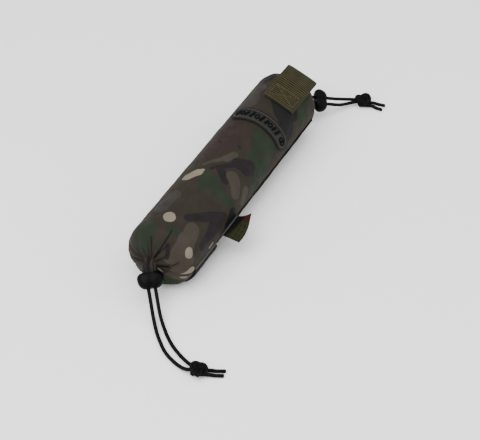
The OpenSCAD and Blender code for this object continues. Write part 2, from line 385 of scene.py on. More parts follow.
def tube(name, line, diameter, sides=14, radius_of=None, ends=3):
    """A closed tube along a line, with domed ends and UVs of length and girth."""
    radius = diameter / 2
    pairs = [beside(line, i) for i in range(len(line))]
    headings = [(after - before).normalized() for before, after in pairs]
    side = headings[0].cross(Vector((0, 0, 1)))
    side = side.normalized() if side.length > 0.01 else Vector((1, 0, 0))
    rings = []
    run = 0
    for i, (point, along) in enumerate(zip(line, headings)):
        side = (side - along * side.dot(along)).normalized()
        run += (point - line[i - 1]).length if i else 0
        r = radius * (radius_of(i / (len(line) - 1)) if radius_of else 1)
        rings.append((point, side.copy(), along.cross(side), r, run))
    first, last = rings[0], rings[-1]
    caps = [math.radians(90 * (k + 1) / (ends + 1)) for k in range(ends)]
    start = [(first[0] - headings[0] * first[3] * 0.6 * math.sin(a), first[1], first[2],
              first[3] * math.cos(a), -first[3] * math.sin(a)) for a in reversed(caps)]
    stop = [(last[0] + headings[-1] * last[3] * 0.6 * math.sin(a), last[1], last[2],
             last[3] * math.cos(a), last[4] + last[3] * math.sin(a)) for a in caps]
    rings = start + rings + stop
    verts, runs = [], []
    for point, u, v, r, run in rings:
        for k in range(sides):
            a = TURN * k / sides
            verts.append(point + r * (math.cos(a) * u + math.sin(a) * v))
            runs.append(run)
    faces = ring_faces(len(rings), sides)
    quads = len(faces)
    girth = math.pi * diameter

    def uv_of(f, c, v):
        if f >= quads:
            return (runs[v], 0)
        return (runs[v], girth * (f % sides + (1 if c in (1, 2) else 0)) / sides)

    return outward(mesh_object(name, verts, faces + end_faces(len(rings), sides), uv_of))


def sheet_mesh(name, rows, thickness, uvs):
    """A closed slab round a grid of (point, normal), with round edges and uvs(down, across)."""
    n_rows, n_cols = len(rows), len(rows[0])
    half = thickness / 2
    verts = [p + n * half for row in rows for p, n in row]
    verts += [p - n * half for row in rows for p, n in row]
    layer = n_rows * n_cols
    faces = []
    for i in range(n_rows - 1):
        for j in range(n_cols - 1):
            a = i * n_cols + j
            faces.append((a, a + 1, a + n_cols + 1, a + n_cols))
            faces.append((layer + a, layer + a + n_cols, layer + a + n_cols + 1, layer + a + 1))
    border = (list(range(n_cols)) + [i * n_cols + n_cols - 1 for i in range(1, n_rows)]
              + [(n_rows - 1) * n_cols + j for j in range(n_cols - 2, -1, -1)]
              + [i * n_cols for i in range(n_rows - 2, 0, -1)])
    middles = {}
    for b in border:
        i, j = divmod(b, n_cols)
        p, _ = rows[i][j]
        inner = rows[min(max(i, 1), n_rows - 2)][min(max(j, 1), n_cols - 2)][0]
        middles[b] = len(verts)
        verts.append(p + (p - inner).normalized() * half * 0.7)
    for a, b in zip(border, border[1:] + border[:1]):
        faces.append((a, middles[a], middles[b], b))
        faces.append((layer + a, layer + b, middles[b], middles[a]))
    place_of = {m: b for b, m in middles.items()}

    def uv_of(f, c, v):
        v = place_of.get(v, v % layer if v < 2 * layer else v)
        i, j = divmod(v, n_cols)
        return uvs(i / (n_rows - 1), j / (n_cols - 1))

    return outward(mesh_object(name, verts, faces, uv_of))


def surface(n_down, n_across, point_at):
    """A grid of (point, normal), where point_at takes the share down and the share across."""
    points = [[point_at(i / n_down, j / n_across) for j in range(n_across + 1)]
              for i in range(n_down + 1)]
    rows = []
    for i, row in enumerate(points):
        above, below = beside(points, i)
        rows.append([])
        for j, point in enumerate(row):
            left, right = beside(row, j)
            rows[i].append((point, (below[j] - above[j]).cross(right - left).normalized()))
    return rows


def on_body(angle, x, height):
    """A point at an angle from the top towards -Y, and so far above the sleeve's cylinder."""
    r = BODY_R + height
    return Vector((x, -r * math.sin(angle), AXIS_Z + r * math.cos(angle)))


def away(angle):
    """Straight out from the body's axis at an angle from the top towards -Y."""
    return Vector((0, -math.sin(angle), math.cos(angle)))


def stitches(name, lines, length=2.4 * MM, space=0.7 * MM, thread=0.55 * MM):
    """Runs of thread: each line is a list of points, and a stitch lies on it every step."""
    parts = []
    for line in lines:
        total = path_length(line)
        count = max(1, round(total / (length + space)))
        for k in range(count):
            run = [along(line, (k + f * length / (length + space)) * total / count)
                   for f in (0.1, 0.35, 0.65, 0.9)]
            parts.append(tube("stitch", run, thread, sides=6, ends=1))
    return joined(name, parts)


def along(line, distance):
    """The point at a distance along a line of points."""
    for a, b in zip(line, line[1:]):
        step = (b - a).length
        if distance <= step:
            return a.lerp(b, distance / step)
        distance -= step
    return line[-1].copy()


def smoothstep(low, high, value):
    t = min(1.0, max(0.0, (value - low) / (high - low)))
    return t * t * (3 - 2 * t)


# ---- Materials ----


def node(tree, kind, *values, out=0, **settings):
    """Adds a shader node. Its inputs take the values in order: a socket is linked, None is left."""
    new = tree.nodes.new("ShaderNode" + kind)
    for key, value in settings.items():
        setattr(new, key, value)
    for socket, value in zip(new.inputs, values):
        if isinstance(value, bpy.types.NodeSocket):
            tree.links.new(value, socket)
        elif value is not None:
            socket.default_value = value
    return new.outputs[out]


def calc(tree, operation, *values):
    return node(tree, "Math", *values, operation=operation)


def mix(tree, factor, a, b):
    """A blend of two colours, each a socket or three numbers; inputs of other kinds come between."""
    a, b = ((*colour, 1) if isinstance(colour, tuple) else colour for colour in (a, b))
    return node(tree, "Mix", factor, *[None] * 5, a, b, out=2, data_type="RGBA")


def ramp(tree, value, low, high, to_low=0.0, to_high=1.0):
    return node(tree, "MapRange", value, low, high, to_low, to_high)


def material(name, roughness, specular=0.3):
    m = bpy.data.materials.new(name)
    m.use_nodes = True
    shader = m.node_tree.nodes["Principled BSDF"]
    shader.inputs["Roughness"].default_value = roughness
    shader.inputs["Specular IOR Level"].default_value = specular
    return m, m.node_tree, shader


def finish_material(m, shader, colour, height=None, distance=0.3 * MM, strength=0.6, rough=None):
    tree = m.node_tree
    tree.links.new(colour, shader.inputs["Base Color"])
    if height is not None:
        bump = node(tree, "Bump", strength, distance)
        tree.links.new(height, bump.node.inputs["Height"])
        tree.links.new(bump, shader.inputs["Normal"])
    if rough is not None:
        tree.links.new(rough, shader.inputs["Roughness"])
    return m


def cloth_uv(tree):
    """The piece's own UV in millimetres, as a vector and its two numbers."""
    uv = node(tree, "UVMap", uv_map="cloth")
    scaled = node(tree, "VectorMath", uv, (1000, 1000, 1000), operation="MULTIPLY")
    parts = tree.nodes.new("ShaderNodeSeparateXYZ")
    tree.links.new(scaled, parts.inputs[0])
    return scaled, parts.outputs[0], parts.outputs[1]


def wave(tree, value, period, phase=0.0):
    """A sine from 0 to 1 of a value in millimetres."""
    angle = calc(tree, "MULTIPLY_ADD", value, TURN / period, phase)
    return calc(tree, "MULTIPLY_ADD", calc(tree, "SINE", angle), 0.5, 0.5)


def plain_weave(tree, u, v, period):
    """The height of crossed threads."""
    a, b = wave(tree, u, period), wave(tree, v, period)
    over = wave(tree, calc(tree, "ADD", u, v), 2 * period)
    return calc(tree, "ADD", calc(tree, "MULTIPLY", a, over),
                calc(tree, "MULTIPLY", b, calc(tree, "SUBTRACT", 1.0, over)))


def fine_noise(tree, vector, scale, detail):
    return node(tree, "TexNoise", vector, None, scale, detail, 0.5)


# Creases at each gathered end: angle from the top towards -Y at the outer end and at the
# gather, how far it reaches from the gather, and its depth.
NEAR_CREASES = [
    (-7, 8, 30, 2.4), (18, 27, 50, 2.4), (30, 27, 28, 2.6), (71, 97, 28, 2.8), (-52, -62, 16, 2.2),
    (-30, -30, 15, 1.6), (46, 52, 20, 1.8), (88, 92, 18, 1.6), (122, 131, 34, 2.6),
    (145, 144, 30, 2.2), (168, 166, 24, 1.8), (190, 192, 36, 2.2), (212, 210, 24, 1.8),
    (236, 238, 40, 2.4), (262, 262, 26, 1.8), (284, 286, 34, 2.2),
]
FAR_CREASES = [
    (20, 20, 22, 1.6), (42, 40, 30, 1.8), (66, 62, 26, 2.0), (88, 84, 38, 2.2), (112, 108, 26, 2.0),
    (136, 138, 34, 2.2), (160, 160, 24, 1.8), (184, 182, 38, 2.2), (206, 208, 24, 1.8),
    (230, 232, 36, 2.2), (254, 252, 26, 1.8), (276, 278, 34, 2.2), (298, 300, 24, 2.0),
    (320, 318, 38, 2.0), (344, 342, 26, 1.8),
]
SLEEVE_RUN = 179.0  # along the cloth from the middle to the gather

CAMO_COLOURS = {
    "brown": (0.0200, 0.0160, 0.0118),
    "maroon": (0.0215, 0.0135, 0.0125),
    "green": (0.0135, 0.0195, 0.0115),
    "dark": (0.0105, 0.0080, 0.0090),
    "black": (0.0075, 0.0070, 0.0075),
    # near black for the painted shadow beside the label, not a colour of the cloth
    "painted_shadow": (0.0020, 0.0018, 0.0019),
    "taupe": (0.034, 0.028, 0.0215),
    # a lighter grey for the painted sheen along the body's upper-left side
    "painted_sheen": (0.027, 0.0235, 0.0205),
    "cream": (0.155, 0.130, 0.100),
}
# Capsules of the camouflage, painted sheen and painted shadow, each lying over those before it: both ends of the
# middle line, as millimetres along the body and round it from the top towards -Y, and the radius.
CAMO_SHAPES = [
    ("maroon", [(30, -10, 14, -14, 14), (24, -26, -14, -12, 8), (28, 0, 2, -2, 11), (12, 6, 2, 3, 6)]),
    ("green", [(40, 22, 22, 30, 9), (36, 40, 12, 36, 12), (18, 52, 4, 42, 10), (6, 26, 10, 30, 4)]),
    # The grey capsules here and further down are painted sheen along the upper-left side.
    ("painted_sheen", [(46, -36, -10, -36, 7)]), ("taupe", [(-35, -8, -16, 8, 2.6), (-16, 8, -5, 13, 4.2)]),
    ("dark", [(-8, 31, -4, 34, 9.5), (-13, 21, -7, 29, 7), (-39, 2, -14, 19, 1.8),
        (-32, 9, -16, 19, 3.2), (-34, 11, -43, 22, 4.6), (-30, 12, -38, 16, 3.6)]),
    ("green", [(-48, 0, -52, 6, 5.5), (-54, 5, -68, 8, 6), (-54, 12, -60, 24, 8),
        (-60, 30, -57, 45, 5.5)]),
    ("taupe", [(-32, 26, -36, 33, 7.5), (-36, 33, -42, 40, 7), (-26, 50, -34, 56, 6)]),
    ("green", [(2, 48, -8, 56, 7)]),
    ("dark", [(-114, 17, -100, 28, 4.6), (-100, 28, -74, 48, 5.4), (-84, 46, -98, 46, 8.5),
        (-98, 47, -122, 49, 5.5)]),
    ("taupe", [(-122, 29, -136, 31, 9), (-138, 31, -158, 38, 11), (-150, 50, -158, 56, 9)]),
    ("green", [(-136, 15, -139, 10, 4.5), (-144, -12, -166, -13, 9), (-150, -22, -166, -26, 8)]),
    ("dark", [(-155, 19, -165, 34, 2.6)]),
    ("painted_sheen", [(-112, -16, -92, -14, 9), (112, -22, 84, -18, 12)]), ("maroon", [(106, -10, 100, -8, 4)]),
    ("black", [(100, 12, 86, 24, 9), (92, 26, 78, 42, 12), (106, 22, 100, 34, 10)]),
    # The near-black capsules beside the label are painted shadow.
    ("painted_shadow", [(-58, 54, -71, 62, 5.5), (-56, 62, -66, 66, 4.5)]), ("green", [(126, 40, 112, 48, 9)]),
    ("dark", [(140, -16, 132, -18, 6)]), ("maroon", [(138, 52, 132, 56, 4)]),
    ("dark", [(9, -14, 5, -9, 1.4), (9, 10, 7, 13, 1.5), (27, -20, 24, -17, 1.2)]),
    ("cream", [(-62, -18, -45, -5, 2.4), (-58.5, -14.5, -50, -8, 5.8), (-124.3, 0, -125.7, 1.4, 6.2),
        (-142.5, 40, -143.5, 42, 5.0), (-145, 62, -156, 70, 3.4), (-155, 74, -164, 88, 5.5),
        (-164, 88, -169, 104, 4), (-103, 60, -110, 61, 1.3)]),
]


def capsule_group():
    """1 inside a capsule between two points and 0 outside it."""
    group = bpy.data.node_groups.new("capsule", "ShaderNodeTree")
    for name, kind in (("At", "Vector"), ("From", "Vector"), ("To", "Vector"), ("Radius", "Float")):
        group.interface.new_socket(name, in_out="INPUT", socket_type="NodeSocket" + kind)
    group.interface.new_socket("Inside", in_out="OUTPUT", socket_type="NodeSocketFloat")
    at, start, end, radius = group.nodes.new("NodeGroupInput").outputs[:4]

    def vector(operation, a, b, out=0):
        return node(group, "VectorMath", a, b, out=out, operation=operation)

    reach = vector("SUBTRACT", end, start)
    gone = vector("SUBTRACT", at, start)
    part = calc(group, "DIVIDE", vector("DOT_PRODUCT", gone, reach, 1),
                calc(group, "ADD", vector("DOT_PRODUCT", reach, reach, 1), 0.001))
    part = node(group, "Clamp", part)
    near = node(group, "VectorMath", reach, operation="SCALE")
    group.links.new(part, near.node.inputs["Scale"])
    apart = vector("LENGTH", vector("SUBTRACT", gone, near), None, 1)
    edge = calc(group, "SUBTRACT", radius, apart)
    inside = node(group, "MapRange", edge, -0.35, 0.35, 0.0, 1.0)
    group.links.new(inside, group.nodes.new("NodeGroupOutput").inputs[0])
    return group


def camo_colour(tree, capsules, at):
    """Noise camouflage all round, with the placed shapes over it on the side that they cover (some of them painted
    sheen and painted shadow), and painted shade along the near gather's creases.
    """
    def inside(where, start, end, radius):
        group = tree.nodes.new("ShaderNodeGroup")
        group.node_tree = capsules
        tree.links.new(where, group.inputs[0])
        for socket, value in zip(group.inputs[1:], ((*start, 0), (*end, 0), radius)):
            socket.default_value = value
        return group.outputs[0]

    warp = node(tree, "TexNoise", at, None, 0.045, 2.0, 0.5, out=1)
    shift = node(tree, "VectorMath", warp, (0.5, 0.5, 0.5), operation="SUBTRACT")
    bent = node(tree, "VectorMath", shift, (3.5, 3.5, 0), at, operation="MULTIPLY_ADD")
    colour = CAMO_COLOURS["brown"]
    layers = (("green", 0.016, 0, 0.54), ("taupe", 0.019, 40, 0.60), ("maroon", 0.018, 90, 0.61),
              ("dark", 0.022, 150, 0.63), ("cream", 0.038, 210, 0.77))
    bent_far = node(tree, "VectorMath", bent, (1.0, 1.7, 1.0), operation="MULTIPLY")
    for name, scale, offset, limit in layers:
        moved = node(tree, "VectorMath", bent_far, (offset, offset, 0), operation="ADD")
        patch = ramp(tree, fine_noise(tree, moved, scale, 0.0), limit - 0.008, limit + 0.008)
        colour = mix(tree, patch, colour, CAMO_COLOURS[name])
    parts = tree.nodes.new("ShaderNodeSeparateXYZ")
    tree.links.new(at, parts.inputs[0])
    arc = parts.outputs[1]
    seen = calc(tree, "MULTIPLY", ramp(tree, arc, -40, -36), ramp(tree, arc, 86, 82))
    colour = mix(tree, seen, colour, CAMO_COLOURS["brown"])
    for name, shapes in CAMO_SHAPES:
        for x0, y0, x1, y1, radius in shapes:
            colour = mix(tree, inside(bent, (x0, y0), (x1, y1), radius), colour, CAMO_COLOURS[name])
    # Painted shade: the first nine near creases are drawn as near-black lines in the colour, where the folds lie in
    # shadow.
    for outer, inner, length, _ in NEAR_CREASES[:9]:
        start = (2 - SLEEVE_RUN, math.radians(inner) * BODY_R / MM)
        end = (0.8 * length - SLEEVE_RUN, math.radians(outer) * BODY_R / MM)
        shade = calc(tree, "MULTIPLY", inside(at, start, end, 0.9), 0.85)
        colour = mix(tree, shade, colour, (0.004, 0.004, 0.004))
    return colour


def camo_cloth():
    m, tree, shader = material("camo_cloth", 0.85, specular=0.12)
    at, u, v = cloth_uv(tree)
    colour = camo_colour(tree, capsule_group(), at)
    weave = plain_weave(tree, u, v, 0.9)
    shade = ramp(tree, weave, 0.0, 1.0, 0.86, 1.1)
    cloud = ramp(tree, fine_noise(tree, at, 0.05, 4.0), 0.3, 0.7, 0.88, 1.12)
    tone = calc(tree, "MULTIPLY", shade, cloud)
    toned = node(tree, "VectorMath", colour, operation="SCALE")
    tree.links.new(tone, toned.node.inputs["Scale"])
    rough = ramp(tree, fine_noise(tree, at, 0.08, 3.0), 0.3, 0.7, 0.68, 0.86)
    return finish_material(m, shader, toned, weave, 0.25 * MM, 0.5, rough)


def webbing(name, dark, light, rib):
    """Ribbed webbing: ribs across its length and fine threads along it."""
    m, tree, shader = material(name, 0.85, specular=0.15)
    at, u, v = cloth_uv(tree)
    ribs = wave(tree, u, rib)
    threads = wave(tree, calc(tree, "MULTIPLY_ADD", u, 0.5, v), 0.8)
    height = calc(tree, "MULTIPLY_ADD", threads, 0.4, calc(tree, "MULTIPLY", ribs, 0.8))
    cloud = fine_noise(tree, at, 0.12, 4.0)
    tone = calc(tree, "MULTIPLY_ADD", calc(tree, "SUBTRACT", cloud, 0.5), 0.7,
                calc(tree, "MULTIPLY_ADD", height, 1.3, -0.3))
    colour = mix(tree, tone, dark, light)
    return finish_material(m, shader, colour, height, 0.45 * MM, 0.8)


def braided_cord(name, dark, light):
    """Braid: threads that cross in both directions round the cord."""
    m, tree, shader = material(name, 0.7, specular=0.08)
    _, u, v = cloth_uv(tree)
    one = wave(tree, calc(tree, "MULTIPLY_ADD", v, 0.9, u), 1.1)
    two = wave(tree, calc(tree, "MULTIPLY_ADD", v, -0.9, u), 1.1)
    height = calc(tree, "MULTIPLY", one, two)
    colour = mix(tree, height, dark, light)
    return finish_material(m, shader, colour, height, 0.2 * MM, 0.25)


def thread(name, dark, light):
    m, tree, shader = material(name, 0.7, specular=0.2)
    _, u, v = cloth_uv(tree)
    twist = wave(tree, calc(tree, "MULTIPLY_ADD", v, 0.8, u), 0.5)
    return finish_material(m, shader, mix(tree, twist, dark, light), twist, 0.1 * MM, 0.6)


def moulded(name, dark, light, roughness, specular):
    """Moulded plastic or rubber with a fine grain, by position."""
    m, tree, shader = material(name, roughness, specular=specular)
    where = node(tree, "NewGeometry")
    scaled = node(tree, "VectorMath", where, (1000, 1000, 1000), operation="MULTIPLY")
    grains = fine_noise(tree, scaled, 1.2, 4.0)
    cloud = fine_noise(tree, scaled, 0.15, 2.0)
    rough = ramp(tree, cloud, 0.3, 0.7, roughness - 0.08, roughness + 0.1)
    return finish_material(m, shader, mix(tree, cloud, dark, light), grains, 0.08 * MM, 0.5, rough)


def tape(name, dark, light):
    m, tree, shader = material(name, 0.85, specular=0.15)
    _, u, v = cloth_uv(tree)
    height = plain_weave(tree, u, v, 0.8)
    return finish_material(m, shader, mix(tree, height, dark, light), height, 0.2 * MM, 0.6)


def woven_label():
    """A woven label: painted shadow darkening its base next to the body, a red patch at one corner and olive, with
    generic bars.
    """
    m, tree, shader = material("woven_label", 0.85, specular=0.12)
    at, u, v = cloth_uv(tree)
    weave = plain_weave(tree, u, v, 0.7)
    olive = mix(tree, weave, (0.007, 0.008, 0.0025), (0.024, 0.026, 0.009))
    red = mix(tree, weave, (0.012, 0.004, 0.002), (0.048, 0.014, 0.008))
    bars = calc(tree, "MULTIPLY", ramp(tree, wave(tree, u, 6.5), 0.55, 0.6),
                ramp(tree, wave(tree, v, 5.0, 1.2), 0.62, 0.67))
    olive = mix(tree, calc(tree, "MULTIPLY", bars, 0.6), olive, (0.004, 0.0045, 0.003))
    warp = calc(tree, "MULTIPLY_ADD", fine_noise(tree, at, 0.25, 2.0), 3.0, -1.5)
    corner = ramp(tree, calc(tree, "ADD", u, warp), 26.5, 27.5)
    colour = mix(tree, corner, olive, red)
    # Painted shadow: the label darkens to near black along its sewn base, next to the body.
    base = ramp(tree, calc(tree, "ADD", calc(tree, "MULTIPLY_ADD", u, -0.2, v), warp), 4.5, 1.0)
    colour = mix(tree, base, colour, (0.0015, 0.0014, 0.0015))
    return finish_material(m, shader, colour, weave, 0.2 * MM, 0.6)


def plain_floor():
    m, tree, shader = material("floor", 0.9, specular=0.1)
    where = node(tree, "NewGeometry")
    grains = fine_noise(tree, where, 60.0, 3.0)
    colour = mix(tree, grains, (0.97, 0.97, 0.97), (0.99, 0.99, 0.99))
    return finish_material(m, shader, colour)


def foam():
    m, tree, shader = material("foam", 0.9)
    where = node(tree, "NewGeometry")
    cells = node(tree, "TexVoronoi", where, None, 700.0)
    colour = mix(tree, cells, (0.008, 0.008, 0.007), (0.016, 0.015, 0.014))
    return finish_material(m, shader, colour, cells)


def dress(ob, m):
    ob.data.materials.clear()
    ob.data.materials.append(m)


# ---- Cords ----

# The same routes as the CAD model's: each point is (distance beyond the body's end, y, z).
NEAR_A = [
    (-1.5, 4.4, 39.8), (2.2, 5.1, 38.2), (5.8, 5, 35.8), (9.2, 3.2, 32.8), (16.1, -2.5, 26.4),
    (23, -8.3, 20.1), (32.1, -15.9, 11.8), (37.4, -20.2, 7.3), (42.8, -24.8, 4.2), (48, -29.2, 2.8),
    (53, -33.6, 2.1), (58.5, -38.9, 2), (63.8, -44.5, 2), (68.2, -49.4, 2), (72, -54.6, 2),
    (75, -59.7, 2), (77.4, -64.8, 2), (79.5, -70, 2), (81.2, -75.2, 2.3), (82.6, -79.8, 3.2),
    (83.2, -84.6, 4.8), (82.8, -89.6, 6.3),
]
NEAR_B = [
    (-3.7, 0.9, 38.6), (-0.3, 0.8, 37), (2.4, -0.3, 35.1), (4.7, -2.2, 32.8), (11.6, -7.9, 26.4),
    (18.5, -13.7, 20.1), (27.6, -21.3, 11.8), (32.9, -25.9, 7.2), (38.6, -31.4, 4), (43.6, -36.4, 2.7),
    (48.6, -41.6, 2.1), (53.4, -46.9, 2), (58, -52.4, 2), (62, -58, 2), (65.6, -63.9, 2),
    (68.8, -69.8, 2), (71.6, -75.4, 2.4), (74, -79.9, 3.4), (76.4, -84.4, 4.8), (79, -89.7, 6.4),
]
NEAR_TAIL_A = [(78.5, -105.5, 3), (75.5, -112, 2), (72.4, -118.2, 2)]
NEAR_TAIL_B = [(74, -101.8, 3), (70, -109.5, 2), (66.2, -117.2, 2)]
FAR_A = [
    (-2, 2, 40), (0.2, 0.8, 39.4), (2.5, -0.7, 38.4), (5, -2.8, 36.7), (7.6, -5.3, 34.7),
    (10.4, -8.4, 32.5), (13.2, -11.8, 30.2), (16, -15.2, 28.2), (18.7, -18.7, 26.2),
    (25.43, -25.41, 23.2), (32.2, -32.1, 20.2), (38.9, -38.9, 17.1), (43.4, -42.1, 15),
    (47.5, -44.8, 12.9), (51.2, -47.4, 11.2), (54.6, -50.1, 9.8), (57.4, -52.8, 8.7), (59.8, -55.8, 7.9),
    (61.4, -58.9, 7.3),
]
FAR_B = [
    (-2.5, -1, 36.8), (-0.2, -2.6, 35.8), (2, -4.7, 34.2), (4, -7.3, 32.1), (6, -10.1, 29.9),
    (8, -13, 27.6), (10, -15.8, 25.4), (12, -18.6, 23.5), (14, -21.35, 21.8), (20.77, -28.09, 18.8),
    (27.5, -34.8, 15.8), (34.2, -41.6, 12.7), (37.8, -43.9, 10.9), (41.3, -45.5, 9.2), (44.8, -47, 7.9),
    (48.2, -48.7, 6.9), (51.5, -50.7, 6.2), (54.7, -53.1, 5.8), (57.4, -55.8, 5.9), (59.5, -58.8, 6.3),
]
FAR_TAIL_A = [(69, -72.8, 3), (71, -80.5, 2), (72, -87.8, 2)]
FAR_TAIL_B = [(63, -74, 3), (63.3, -81, 2), (63, -87.8, 2)]
KNOT_SIZE = 2.3 * MM
KNOT_TILT = 0.35


def placed(points, end):
    return [Vector((end * (END_X + p[0] * MM), p[1] * MM, p[2] * MM)) for p in points]


def add_strand(name, points, end):
    line = smooth_path(placed(points, end), 1.2 * MM)
    return stand_in(tube(name, line, CORD_D), "bumper", "elastic_cord", name), line


def knot_path(middle, heading):
    """An overhand knot that comes in along heading, as (point, share above it), and its upright."""
    e1 = Vector(heading).normalized()
    e2 = Vector((0, 0, 1)).cross(e1).normalized()
    e3 = e1.cross(e2)
    tilt_c, tilt_s = math.cos(KNOT_TILT), math.sin(KNOT_TILT)
    e2, e3 = e2 * tilt_c + e3 * tilt_s, e3 * tilt_c - e2 * tilt_s
    line = []
    for k in range(49):
        a = math.radians(200 + 320 * k / 48)
        x = math.sin(a) + 2 * math.sin(2 * a)
        y = math.cos(a) - 2 * math.cos(2 * a)
        line.append((middle + KNOT_SIZE * (x * e1 + (y + 0.5) * e2), -math.sin(3 * a)))
    return line, e3


def add_knot(name, ends_in, middle, heading, tails):
    """The two strands' overhand knot, with a tail from each."""
    line, upright = knot_path(middle, heading)
    parts = []
    for strand_end, tail, offset in zip(ends_in, tails, (-1, 1)):
        points = [strand_end]
        for i, (point, height) in enumerate(line):
            before, after = beside(line, i)
            side = (after[0] - before[0]).normalized().cross(upright).normalized()
            points.append(point + side * offset * CORD_D * 0.42 + upright * height * CORD_D * 0.55)
        parts.append(tube(name + "_part", smooth_path(points + tail, 0.9 * MM), CORD_D * 0.97))
    own_tails = (name.replace("knot", "tail_a"), name.replace("knot", "tail_b"))
    return stand_in(joined(name, parts), "bumper", "elastic_cord", name, *own_tails)


def add_cords(cord_material):
    for side, end, routes, middle, heading, tails in (
        ("near", -1, (NEAR_A, NEAR_B), (81.6, -95, 7), (-0.1, -1, 0), (NEAR_TAIL_A, NEAR_TAIL_B)),
        ("far", 1, (FAR_A, FAR_B), (63, -64, 7), (0.45, -1, 0), (FAR_TAIL_A, FAR_TAIL_B)),
    ):
        strands = [add_strand(f"{side}_strand_{k}", r, end) for k, r in zip("ab", routes)]
        knot = add_knot(f"{side}_knot", [line[-1] for _, line in strands], placed([middle], end)[0],
                        heading, [placed(t, end) for t in tails])
        for strand, line in strands:
            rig.cord(strand, exit=line[0], length=path_length(line), diameter=CORD_D,
                    far_end="knot", stiffness="limp", lay="loose", path=line, with_pieces=[knot])
            dress(strand, cord_material)
        dress(knot, cord_material)


# ---- Sleeve ----

GATHER_R = 8.0 * MM
GATHER_SHIFT = 3.5 * MM
SLEEVE_STEP = 2 * MM
SLEEVE_TURNS = 468
DOME_STEPS = 36
FLATTENED_BELOW = 1.2 * MM


def half_outline(power):
    """One half's meridian as (x, radius, run from the middle, reach from the gather)."""
    half = [(k * SLEEVE_STEP, BODY_R) for k in range(int(SHOULDER_X / SLEEVE_STEP) + 1)]
    for k in range(1, DOME_STEPS + 1):
        a = math.pi / 2 * k / DOME_STEPS
        half.append((SHOULDER_X + (GATHER_X - SHOULDER_X) * math.sin(a),
                     GATHER_R + (BODY_R - GATHER_R) * math.cos(a) ** power))
    gather = len(half) - 1
    for depth, r in ((0.5, 6.8), (1.3, 5.9), (2.4, 5.2), (4, 4.6), (6, 3.8), (8, 2.6), (9, 1.2)):
        half.append((GATHER_X - depth * MM, r * MM))
    runs = runs_of(half)
    return [(x, r, run, runs[gather] - run) for (x, r), run in zip(half, runs)]


def sleeve_outline():
    """The meridian from the near gather to the far one, which is the fuller."""
    near = [(-x, r, -run, reach) for x, r, run, reach in half_outline(0.9)[:0:-1]]
    return near + half_outline(0.7)


def crease_depth(angle, reach, girth_r, creases):
    """How far the cloth is drawn in at an angle and at a reach from the gather, in metres."""
    depth = 0.0
    for outer, inner, length, deep in creases:
        if reach > length:
            continue
        part = reach / length
        middle = math.radians(inner + (outer - inner) * part)
        off = (angle - middle + math.pi) % TURN - math.pi
        gap = abs(off) * girth_r
        width = (0.45 + 0.7 * part) * MM
        fade = smoothstep(0.0, 0.12, part) * (1 - part) ** 0.6 if part < 1 else 0
        groove = math.exp(-gap / width) + 0.5 * math.exp(-((gap / (4.0 * width)) ** 2))
        depth += deep * MM * fade * groove / 1.5
    return depth


def sleeve_point(angle, x, r, outward_x, reach, creases):
    """A point of the sleeve, with its creases, pleats, slack and the flats that things press on it."""
    girth_r = max(r, 4 * MM)
    depth = crease_depth(angle, reach, girth_r, creases)
    near_pole = 1 - smoothstep(4, 30, reach)
    pleat = math.sin(17 * angle + 1.5 * math.sin(3 * angle)) * 0.55 * MM * near_pole
    where = Vector((x * 30, math.sin(angle) * 1.6, math.cos(angle) * 1.6))
    wrinkle = (noise.noise(where * 1.3) * 0.45 + noise.noise(where * 3.1 + Vector((7, 3, 1))) * 0.25) * MM
    fan = Vector((angle * 6, reach * 0.03, x * 4))
    wrinkle += noise.noise(fan) * 0.7 * MM * (1 - smoothstep(8, 60, reach))
    sag = 0.0
    if x < 0:
        sag = 2.2 * MM * math.exp(-(((angle - math.radians(122)) / 0.42) ** 2)) * smoothstep(
            -60 * MM, -100 * MM, x) * (1 - smoothstep(-135 * MM, -154 * MM, x))
    seam = 0.9 * MM * math.exp(-abs(angle - SEAM) * girth_r / (0.8 * MM))
    out = wrinkle + pleat + sag - depth - seam
    r = max(0.6 * MM, r + out * math.sqrt(max(0.0, 1 - outward_x * outward_x)))
    x += out * outward_x * (1 if x > 0 else -1)
    local_y, local_z = -r * math.sin(angle - LEAN), r * math.cos(angle - LEAN)
    seat = smoothstep(TAB_NEAR_X - 5 * MM, TAB_NEAR_X - 0.5 * MM, x)
    top = BODY_R - TAB_SEAT - 0.25 * MM
    if local_z > top:
        local_z += (top - local_z) * seat
    lean_c, lean_s = math.cos(LEAN), math.sin(LEAN)
    y = local_y * lean_c - local_z * lean_s
    z = AXIS_Z + local_z * lean_c + local_y * lean_s
    if x < 0:
        y += GATHER_SHIFT * (1 - smoothstep(0, 40, reach))
    if z < FLATTENED_BELOW:
        z = max(0.05 * MM, FLATTENED_BELOW - (FLATTENED_BELOW - z) * 0.55)
    return Vector((x, y, z))


def gather_lip():
    """The crumpled lip of the near gather, which the toggle is pushed up against."""
    route = [(-4, 3.4, 38.8), (0, 3.0, 37.2), (4, 1.6, 34.6), (7.6, -0.6, 31.6)]
    line = smooth_path(placed(route, -1), 0.6 * MM)
    lip = tube("gather_lip", line, 13.5 * MM, sides=72, radius_of=lambda t: 1.05 - 0.22 * t, ends=2)
    for v in lip.data.vertices:
        k = min(range(len(line)), key=lambda n: (line[n] - v.co).length)
        away_from = v.co - line[k]
        turn = math.atan2(away_from.y, away_from.z)
        fold = math.sin(9 * turn + 2 * k / len(line)) + 0.4 * math.sin(14 * turn + 1)
        v.co += away_from * 0.11 * fold
    for loop in lip.data.uv_layers["cloth"].data:
        loop.uv = (-0.168 + loop.uv[0] * 0.3, 0.018 + loop.uv[1] * 0.4)
    return lip


